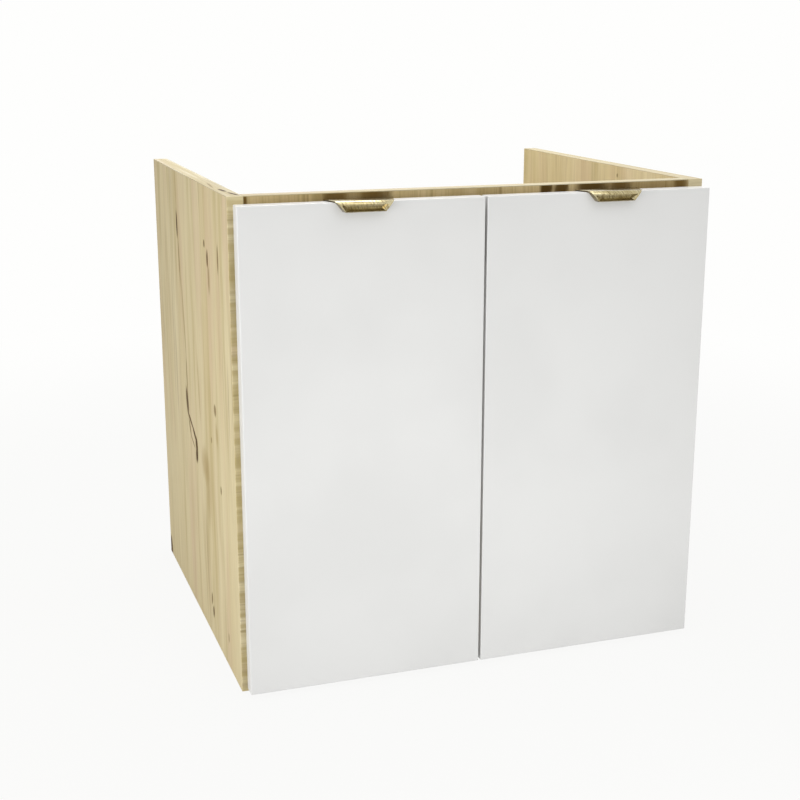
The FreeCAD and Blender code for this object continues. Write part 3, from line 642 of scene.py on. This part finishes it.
# ---- Hinges ----------------------------------------------------------------------------------
# Pressed steel, nickel plated: a plate screwed to the side, an arm clamped on it, a cup let into
# the door and a pin. Pressing and tumbling leave every edge a little round.
def rounded_copy(node, radius, material, body):
    """A copy of a CAD piece with its seams merged and its edges eased, which takes its place."""
    flat_below = math.radians(0.5)
    eased_above = math.radians(35)
    shell = bmesh.new()
    shell.from_mesh(nodes[node].data)
    bmesh.ops.remove_doubles(shell, verts=shell.verts, dist=weld_distance)
    bmesh.ops.dissolve_limit(
        shell, angle_limit=flat_below, verts=shell.verts, edges=shell.edges
    )
    for face in shell.faces:
        face.smooth = True
    mesh = bpy.data.meshes.new("eased_" + node)
    shell.to_mesh(mesh)
    shell.free()
    mesh.materials.append(material)
    piece = bpy.data.objects.new("eased_" + node, mesh)
    bpy.context.scene.collection.objects.link(piece)
    bevel = piece.modifiers.new("eased_edges", "BEVEL")
    bevel.width = radius / 1000
    bevel.segments = 2
    bevel.limit_method = "ANGLE"
    bevel.angle_limit = eased_above
    bevel.harden_normals = True
    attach(piece, body)
    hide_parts(node)


nickel = plated_steel("nickel_plated_steel", "#C4C0B6", "#A9A59B", 0.6)
plate_easing = 0.3
arm_easing = 0.25
cup_easing = 0.2
for side in ("left_", "right_"):
    for level in ("upper_", "lower_"):
        hinge = side + level + "hinge_"
        rounded_copy(hinge + "plate", plate_easing, nickel, "carcass")
        rounded_copy(hinge + "arm", arm_easing, nickel, "carcass")
        rounded_copy(hinge + "cup", cup_easing, nickel, side + "door")
        rounded_copy(hinge + "pin", cup_easing, nickel, side + "door")


# ---- Screws ----------------------------------------------------------------------------------
# Zinc-plated steel, pan headed, with a cross slot and a rolled thread. Wood screws hold the hinge
# plates, the cups and the pulls. A short machine screw clamps each hinge arm.
plate_screw = {
    "Head Radius": 3.5, "Head Height": 1.8, "Shank Radius": 1.75, "Length": 15.0,
    "Pitch": 1.5, "Thread Depth": 0.3, "Slot Length": 4.0, "Slot Width": 0.9, "Slot Depth": 1.2,
}
cup_screw = dict(plate_screw, Length=14.2)
pull_screw = dict(plate_screw, Length=14.6)
arm_screw = dict(plate_screw, Length=8.15, Pitch=0.8)
arm_screw.update({"Head Radius": 4.3, "Shank Radius": 2.5})
threaded_share = 0.74
plain_tip_share = 0.22
tree, sizes = geometry_tree("cross_slot_screw", plate_screw)
head_profile = [
    (0, 0), (0, 0.5), (0, 0.96), (0.08, 1), (0.45, 0.98), (0.75, 0.88), (0.93, 0.72), (1, 0.5),
    (1, 0),
]
head = turned(
    tree, head_profile, sizes["Head Radius"], sizes["Head Height"], start=sizes["Length"]
)
head_top = add(
    tree, "ShaderNodeMath", {0: sizes["Length"], 1: sizes["Head Height"]}, operation="ADD"
)
slot_middle = add(
    tree, "ShaderNodeMath", {0: sizes["Slot Depth"], 1: -0.5, 2: head_top}, operation="MULTIPLY_ADD"
)
# The cutter stands a little proud of the head, so that the slot is open at its top.
cutter_share = 1.02
cutter_height = add(
    tree, "ShaderNodeMath", {0: sizes["Slot Depth"], 1: cutter_share}, operation="MULTIPLY"
)
lift = add(tree, "ShaderNodeCombineXYZ", {"Z": slot_middle})
slotted = add(tree, "GeometryNodeMeshBoolean", {"Mesh 1": head}, operation="DIFFERENCE")
for across, along in (("X", "Y"), ("Y", "X")):
    blade = add(tree, "ShaderNodeCombineXYZ", {
        across: sizes["Slot Width"], along: sizes["Slot Length"], "Z": cutter_height,
    })
    block = add(tree, "GeometryNodeMeshCube", {"Size": blade})
    sunk = add(tree, "GeometryNodeTransform", {"Geometry": block, "Translation": lift})
    tree.links.new(sunk.outputs[0], slotted.inputs["Mesh 2"])
core_profile = [(0, 0), (0.02, 0.12), (0.2, 0.68), (0.24, 0.72), (0.6, 0.72), (1, 0.72), (1, 0)]
core = turned(tree, core_profile, sizes["Shank Radius"], sizes["Length"], segments=24)
thread_length = add(
    tree, "ShaderNodeMath", {0: sizes["Length"], 1: threaded_share}, operation="MULTIPLY"
)
thread_start = add(
    tree, "ShaderNodeMath", {0: sizes["Length"], 1: plain_tip_share}, operation="MULTIPLY"
)
ridge = thread(
    tree, sizes["Shank Radius"], thread_length, sizes["Pitch"], sizes["Thread Depth"], thread_start
)
screw = add(tree, "GeometryNodeJoinGeometry", {0: slotted})
tree.links.new(core.outputs[0], screw.inputs[0])
tree.links.new(ridge.outputs[0], screw.inputs[0])
screw_steel = plated_steel("zinc_plated_screw_steel", "#BFBDB4", "#9C9A92", 0.5)
on_seats(tree, sizes, screw, screw_steel)


def out_of_door(middle):
    """The level way from a door's back into the cabinet."""
    return Vector((0, 1, 0))


spread("hinge_plate_screws", tree, plate_screw, to_cabinet_middle, "carcass")
spread("hinge_arm_screws", tree, arm_screw, to_cabinet_middle, "carcass")
for side in ("left_", "right_"):
    spread(side + "cup_screws", tree, cup_screw, out_of_door, side + "door")
    spread(side + "handle_screws", tree, pull_screw, out_of_door, side + "door")


# ---- Doors -----------------------------------------------------------------------------------
# Slabs of fibreboard, lacquered white all round and cured glossy. The lacquer has a faint
# waviness that only shows in reflections, and its eased edges catch the light.
def white_lacquer(name):
    """White gloss lacquer on fibreboard."""
    material, tree, shader = new_material(name, Coat_Weight=0.25, Coat_Roughness=0.12)
    coordinates = add(tree, "ShaderNodeTexCoord").outputs["Object"]
    cloud = blotches(tree, coordinates, (160, 160, 160))
    waves = blotches(tree, coordinates, (9, 9, 9), detail=1)
    colour = tint(tree, "#E5E5E4", "#E1E1E0", cloud, 0.35, 0.65)
    dress(tree, shader, colour, waves, (0.28, 0.34), 0.05, 0.2)
    return material


paint(["left_door_panel", "right_door_panel"], white_lacquer("white_gloss_lacquer"))


# ---- Door bumpers ----------------------------------------------------------------------------
# Clear self-adhesive polyurethane buffers on the doors' backs, with a domed tip. Each lets the
# light through, a little hazy, and stops its door softly at the carcass.
bumper_sizes = {"Radius": 4.0, "Length": 8.7}
tree, sizes = geometry_tree("domed_bumper", bumper_sizes)
bumper_profile = [
    (0, 0), (0, 0.97), (0.03, 1), (0.6, 1), (0.78, 0.97), (0.9, 0.85), (0.97, 0.62), (1, 0.3),
    (1, 0),
]
bumper = turned(tree, bumper_profile, sizes["Radius"], sizes["Length"], segments=48)
clear_rubber, rubber_tree, shader = new_material(
    "clear_polyurethane", IOR=1.5, Transmission_Weight=0.85
)
coordinates = add(rubber_tree, "ShaderNodeTexCoord").outputs["Object"]
haze = blotches(rubber_tree, coordinates, (2, 2, 2))
rubber_colour = tint(rubber_tree, "#F1F3F0", "#E3E8E4", haze)
dress(rubber_tree, shader, rubber_colour, haze, (0.14, 0.22), 0.05, 0.05)
on_seats(tree, sizes, bumper, clear_rubber)
for side in ("left_", "right_"):
    spread(side + "door_bumpers", tree, bumper_sizes, out_of_door, side + "door")


# ---- Edge pulls ------------------------------------------------------------------------------
# Cast zinc, ground and brushed at a slant, plated in a brass tone and lacquered. The faces that
# look down, in the pocket and below the nose, get painted shade.
def brushed_brass(name):
    """Brass-toned plating, brushed in slanting strokes.

    Real strokes are finer. These are 0.9 mm wide, so that they show.
    """
    slant = math.radians(25)
    material, tree, shader = new_material(name, Metallic=1.0, Anisotropic=0.3)
    coordinates = add(tree, "ShaderNodeTexCoord").outputs["Object"]
    slanted = add(tree, "ShaderNodeMapping", {"Vector": coordinates, "Rotation": (0, slant, 0)})
    strokes = blotches(tree, slanted, (0.9, 14, 14))
    clouds = blotches(tree, coordinates, (18, 8, 8), seed=5)
    colour = tint(tree, "#D2C8A4", "#BFB187", clouds, 0.35, 0.65)
    colour = tint(tree, colour, "#75633A", strokes, 0.42, 0.66, 0.7)
    # Painted shade: faces that look down are tinted dark brown.
    normal = add(tree, "ShaderNodeTexCoord").outputs["Normal"]
    split = add(tree, "ShaderNodeSeparateXYZ", {0: normal})
    painted_shade_below = add(tree, "ShaderNodeMath", {0: split.outputs["Z"], 1: -1.0}, operation="MULTIPLY")
    colour = tint(tree, colour, "#5E4B22", painted_shade_below, 0.1, 0.5, 0.65)
    dress(tree, shader, colour, strokes, (0.15, 0.22), 0.1, 0.05)
    return material


brass = brushed_brass("brushed_brass_plating")
pull_easing = 0.35
for side in ("left_", "right_"):
    rounded_copy(side + "handle", pull_easing, brass, side + "door")


# ---- Floor, light and camera -----------------------------------------------------------------
# A white studio: one wide white floor, an even sky, and softboxes above, at the left and in front.
# A low lamp fills the foot of the doors. The camera doesn't see the lamps themselves.
floor_half = 6.0
floor_mesh = bpy.data.meshes.new("studio_floor")
corners = [(-1, -1), (1, -1), (1, 1), (-1, 1)]
floor_mesh.from_pydata([(x * floor_half, y * floor_half, 0) for x, y in corners], [], [range(4)])
floor = bpy.data.objects.new("studio_floor", floor_mesh)
bpy.context.scene.collection.objects.link(floor)


def seen_directly(tree):
    """1 for the camera's rays, for mirrored ones and for ones through glass, 0 for the others."""
    path = add(tree, "ShaderNodeLightPath").outputs
    direct = {0: path["Is Camera Ray"], 1: path["Is Glossy Ray"]}
    direct = add(tree, "ShaderNodeMath", direct, operation="MAXIMUM")
    through_glass = path["Is Transmission Ray"]
    return add(tree, "ShaderNodeMath", {0: direct, 1: through_glass}, operation="MAXIMUM")


# Rays that see the floor get plain white and a small share of its real shade, which keeps the
# shadow at the object's foot. The share fades out between these two distances, in metres.
shadow_share = 0.07
shadow_reach = (0.7, 1.9)
floor_paper, tree, shader = new_material("white_floor_paper", Roughness=0.9)
shader.inputs["Base Color"].default_value = linear("#B9B9B7")
coordinates = add(tree, "ShaderNodeTexCoord").outputs["Object"]
distance = add(tree, "ShaderNodeVectorMath", {0: coordinates}, operation="LENGTH").outputs["Value"]
glow = add(tree, "ShaderNodeEmission", {"Color": "#FEFEFD", "Strength": 1.0})
plain = add(
    tree, "ShaderNodeMapRange",
    {0: distance, 1: shadow_reach[0], 2: shadow_reach[1], 3: 1.0 - shadow_share, 4: 1.0},
    interpolation_type="SMOOTHSTEP",
)
share = add(tree, "ShaderNodeMath", {0: seen_directly(tree), 1: plain}, operation="MULTIPLY")
surface = add(tree, "ShaderNodeMixShader", {0: share, 1: shader, 2: glow})
tree.links.new(surface.outputs[0], tree.nodes["Material Output"].inputs["Surface"])
floor_mesh.materials.append(floor_paper)

sky_level = 0.62
world = bpy.data.worlds.new("white_studio")
bpy.context.scene.world = world
world.use_nodes = True
tree = world.node_tree
sky = tree.nodes["Background"]
sky.inputs["Color"].default_value = linear("#FEFEFD")
sky_strength = add(tree, "ShaderNodeMapRange", {0: seen_directly(tree), 3: sky_level, 4: 1.0})
tree.links.new(sky_strength.outputs[0], sky.inputs["Strength"])


def softbox(name, place, target, sides, power, mirrored=True):
    """A lamp of the given width and height in metres that looks at a target. power is in watts."""
    lamp = bpy.data.lights.new(name, "AREA")
    lamp.shape = "RECTANGLE"
    lamp.size, lamp.size_y = sides
    lamp.energy = power
    softbox_object = bpy.data.objects.new(name, lamp)
    softbox_object.location = place
    look = Vector(target) - Vector(place)
    softbox_object.rotation_euler = look.to_track_quat("-Z", "Y").to_euler()
    softbox_object.visible_camera = False
    softbox_object.visible_glossy = mirrored
    bpy.context.scene.collection.objects.link(softbox_object)


softbox("overhead_softbox", (0.0, 0.26, 1.4), (0.0, 0.26, 0.0), (0.6, 1.0), 9)
softbox("left_softbox", (-1.25, -0.62, 0.35), (-0.3, -0.1, 0.3), (0.7, 0.7), 6.2)
softbox("front_softbox", (0.2, -1.2, 1.75), (0.0, -0.25, 0.55), (0.9, 0.9), 3.2)
softbox("low_fill", (0.1, -1.1, 0.2), (0.0, -0.25, 0.1), (0.36, 0.36), 2.4, mirrored=False)

# The camera's place was fitted to the photo. Its heading and its pitch are in radians.
camera_place = Vector((-0.6133, -1.7338, 0.7741))
camera_heading = 0.331
camera_pitch = -0.261
camera_data = bpy.data.cameras.new("photo_camera")
camera_data.sensor_width = 36.0
camera_data.lens = 61.73
camera = bpy.data.objects.new("photo_camera", camera_data)
camera.location = camera_place
forward = Vector((
    math.sin(camera_heading) * math.cos(camera_pitch),
    math.cos(camera_heading) * math.cos(camera_pitch),
    math.sin(camera_pitch),
))
camera.rotation_euler = forward.to_track_quat("-Z", "Y").to_euler()
bpy.context.scene.collection.objects.link(camera)
bpy.context.scene.camera = camera
bpy.context.scene.view_settings.view_transform = "Standard"
